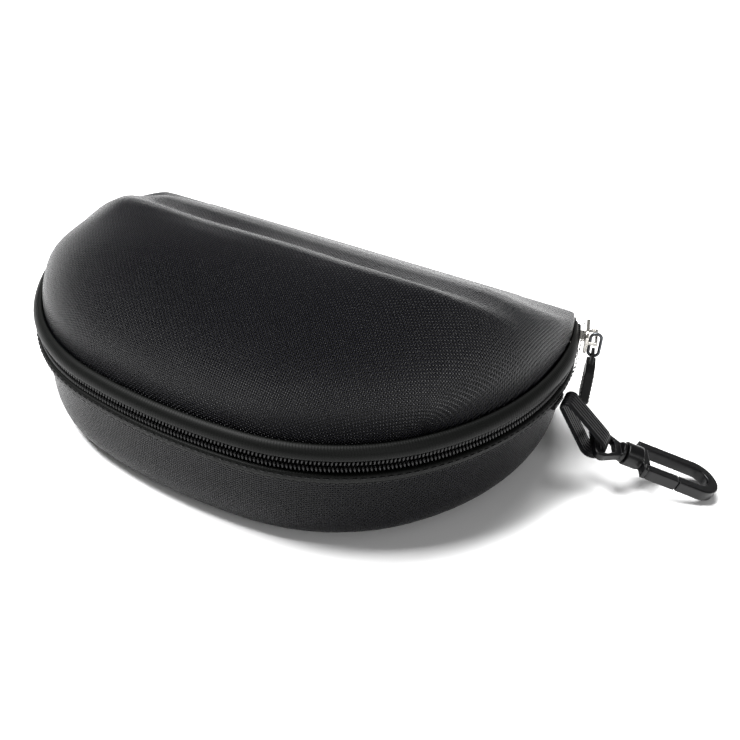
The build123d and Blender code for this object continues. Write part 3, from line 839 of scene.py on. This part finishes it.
# %% Hinge strip
hinge_rows = np.concatenate([
    np.linspace(22.0, 32.0, 9), np.linspace(32.4, 35.6, 13), [36.4, 37.2, 38.0],
])
hinge_x = np.linspace(-66, 66, 67)
hinge_points, hinge_faces, hinge_uv = [], [], []
for y in (33.2, 32.5):
    hinge_points += [(x, y, z) for z in hinge_rows for x in hinge_x]
nx, nz = len(hinge_x), len(hinge_rows)
for side in (0, nx * nz):
    for i in range(nz - 1):
        for j in range(nx - 1):
            a = side + i * nx + j
            hinge_faces.append((a, a + 1, a + nx + 1, a + nx))
            x0, x1, z0, z1 = hinge_x[j], hinge_x[j + 1], hinge_rows[i], hinge_rows[i + 1]
            hinge_uv += [(x0, z0), (x1, z0), (x1, z1), (x0, z1)]
rim_path = (
    list(range(nx)) + [i * nx + nx - 1 for i in range(1, nz)]
    + [(nz - 1) * nx + j for j in range(nx - 2, -1, -1)] + [i * nx for i in range(nz - 2, 0, -1)]
)
for a, b in zip(rim_path, rim_path[1:] + rim_path[:1]):
    hinge_faces.append((a, b, b + nx * nz, a + nx * nz))
    hinge_uv += [(0, 0), (1, 0), (1, 1), (0, 1)]
hinge_strip = make_piece("fabric_hinge_strip", hinge_points, hinge_faces, hinge_ribs, hinge_uv)
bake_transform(hinge_strip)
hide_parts("hinge_tape_lower", "hinge_tape_upper")
for name, height, body in (
    ("hinge_lower_stitches", 23.4, "base"), ("hinge_upper_stitches", 37.0, "lid"),
):
    row = [(x, 33.25, height) for x in np.linspace(-64, 64, 60)]
    beads(name, row, STITCH, sewing_thread, body, "hinge_fabric")
print("hinge strip", len(hinge_faces), "faces")

# %% [markdown]
# ## Cast and moulded trim
# The slider is cast zinc, the puller soft plastic, the snap hook acetal.  All of them come
# out of a mould with every edge rounded.  The mechanical model has their true shapes with
# sharp edges, so a copy of each is rebuilt on a fine grid and smoothed: the edges round off,
# the flat faces stay, and the piece keeps its place.


# %% Round the edges of a copy
def moulded_copy(cad_node, name, grid, passes, finish):
    """A rounded copy of a node, on a grid of that many millimetres, in place of the node."""
    source = frame["nodes"][cad_node]
    mesh = source.data.copy()
    mesh.materials.clear()
    welded = bmesh.new()
    welded.from_mesh(mesh)
    bmesh.ops.remove_doubles(welded, verts=welded.verts, dist=0.00001)
    welded.to_mesh(mesh)
    welded.free()
    rough = bpy.data.objects.new(name + "_rough", mesh)
    bpy.context.scene.collection.objects.link(rough)
    remesh = rough.modifiers.new("grid", "REMESH")
    remesh.mode = "VOXEL"
    remesh.voxel_size = grid * MM
    relax = rough.modifiers.new("relax", "SMOOTH")
    relax.factor = 0.5
    relax.iterations = passes
    seen = rough.evaluated_get(bpy.context.evaluated_depsgraph_get())
    made = bpy.data.meshes.new_from_object(seen)
    made.name = name
    bpy.data.objects.remove(rough)
    made.materials.clear()
    made.materials.append(finish)
    made.polygons.foreach_set("use_smooth", [True] * len(made.polygons))
    if not made.uv_layers:
        made.uv_layers.new(name="cloth")
    piece = bpy.data.objects.new(name, made)
    bpy.context.scene.collection.objects.link(piece)
    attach(piece, source["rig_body"])
    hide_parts(cad_node)
    print(name, len(made.polygons), "faces")
    return piece


# %% Make the trim
moulded_copy("slider_body", "cast_slider", 0.16, 4, nickel_plate)
moulded_copy("slider_bridge", "slider_bail", 0.12, 3, nickel_plate)
moulded_copy("swivel_eye", "swivel_eye_moulding", 0.2, 6, satin_acetal)
moulded_copy("snap_hook_body", "snap_hook_moulding", 0.24, 7, satin_acetal)
moulded_copy("snap_hook_gate", "snap_hook_tongue", 0.18, 5, satin_acetal)
moulded_copy("pull_tab", "soft_pull_tab", 0.18, 6, soft_puller)
moulded_copy("webbing_anchor", "webbing_anchor_fold", 0.3, 4, webbing_ribs)

# %% Nodes that keep their own shape
for name, finish in (("pull_link", black_wire), ("zipper_end_stops", nickel_plate)):
    kept = frame["nodes"][name]
    kept.data.materials.clear()
    kept.data.materials.append(finish)
print("kept", "pull_link", "zipper_end_stops")

# %% [markdown]
# ## Grip ribs on the puller
# Short raised ribs run across both faces of the puller.  They are the same repeated bead as
# the teeth, stretched to the puller's width, on a line down each face.

# %% Puller ribs
tab_low, tab_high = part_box("pull_tab")
tab_middle = (tab_low + tab_high) / 2 / MM
slider_turn = math.radians(16.2)
RIB = (0.45, 1.3, 0.75, 0.85, 0.0)
tab_out = np.array([math.cos(slider_turn), math.sin(slider_turn)])
tab_across = np.array([-tab_out[1], tab_out[0]])
for name, side in (("puller_outer_ribs", 1.35), ("puller_inner_ribs", -1.35)):
    foot = np.array([tab_middle[0], tab_middle[1]]) + tab_out * side
    mesh_points = []
    for z in np.arange(tab_low.z / MM + 2.6, tab_low.z / MM + 14.4, 1.7):
        mesh_points.append([(*(foot + tab_across * w), z) for w in np.linspace(-3.4, 3.4, 12)])
    for i, rib in enumerate(mesh_points):
        beads(f"{name}_{i}", rib, RIB, soft_puller, "tab", "puller_rubber")
print("puller ribs", 2 * len(mesh_points))

# %% [markdown]
# ## The webbing loop
# A narrow ribbed webbing comes out of the seam, passes round the eye's bar and goes back.
# Its middle line is two straight legs and two round bends, found from the two circles that it
# lies on.  A flat rounded section is swept round that closed line.

# %% Webbing
BAR = np.array([107.4, -1.8, 15.8])
LOOP_TURN = math.radians(4.0)
ROOT_X = HALF_LENGTH + 0.35 + 1.0 + 1.2
run_back = (BAR[0] - ROOT_X) / math.cos(LOOP_TURN)
root = np.array([-run_back, RIM - 6.6 - BAR[2]])
bar_r, root_r = 3.6, 1.6
lean = math.atan2(root[1], root[0])
spread = math.acos((bar_r - root_r) / np.hypot(*root))
round_bar = np.linspace(lean + spread, lean + 2 * math.pi - spread, 30)
round_root = np.linspace(lean - spread, lean + spread, 16)
legs = np.linspace(0, 1, 14)[1:-1, None]
bar_arc = bar_r * np.stack([np.cos(round_bar), np.sin(round_bar)], 1)
root_arc = root + root_r * np.stack([np.cos(round_root), np.sin(round_root)], 1)
down_leg = bar_arc[-1] + (root_arc[0] - bar_arc[-1]) * legs
up_leg = root_arc[-1] + (bar_arc[0] - root_arc[-1]) * legs
loop_line = np.concatenate([bar_arc, down_leg, root_arc, up_leg])
ahead = np.roll(loop_line, -1, axis=0) - np.roll(loop_line, 1, axis=0)
normal = np.stack([ahead[:, 1], -ahead[:, 0]], 1) / np.linalg.norm(ahead, axis=1)[:, None]
forward = np.array([math.cos(LOOP_TURN), math.sin(LOOP_TURN), 0])
sideways = np.array([math.sin(LOOP_TURN), -math.cos(LOOP_TURN), 0])
section = round_off([(-0.58, -3.8), (0.58, -3.8), (0.58, -1.9), (0.58, 1.9), (0.58, 3.8),
                     (-0.58, 3.8), (-0.58, 1.9), (-0.58, -1.9)], 2)
loop_points, loop_faces, loop_uv = [], [], []
for place, way in zip(loop_line, normal):
    for thick, wide in section:
        flat = place + way * thick
        loop_points.append(BAR + forward * flat[0] + np.array([0, 0, flat[1]]) + sideways * wide)
count, rows = len(section), len(loop_line)
for i in range(rows):
    n = (i + 1) % rows
    for j in range(count):
        k = (j + 1) % count
        loop_faces.append((i * count + j, i * count + k, n * count + k, n * count + j))
        w0, w1 = section[j][1], section[k][1]
        loop_uv += [(i, w0), (i, w1), (i + 1, w1), (i + 1, w0)]
loop = make_piece("webbing_strap_loop", loop_points, loop_faces, webbing_ribs, loop_uv, "strap")
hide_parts("webbing_loop")
print("webbing goes", round(float(np.linalg.norm(ahead, axis=1).sum() / 2)), "mm round its loop")
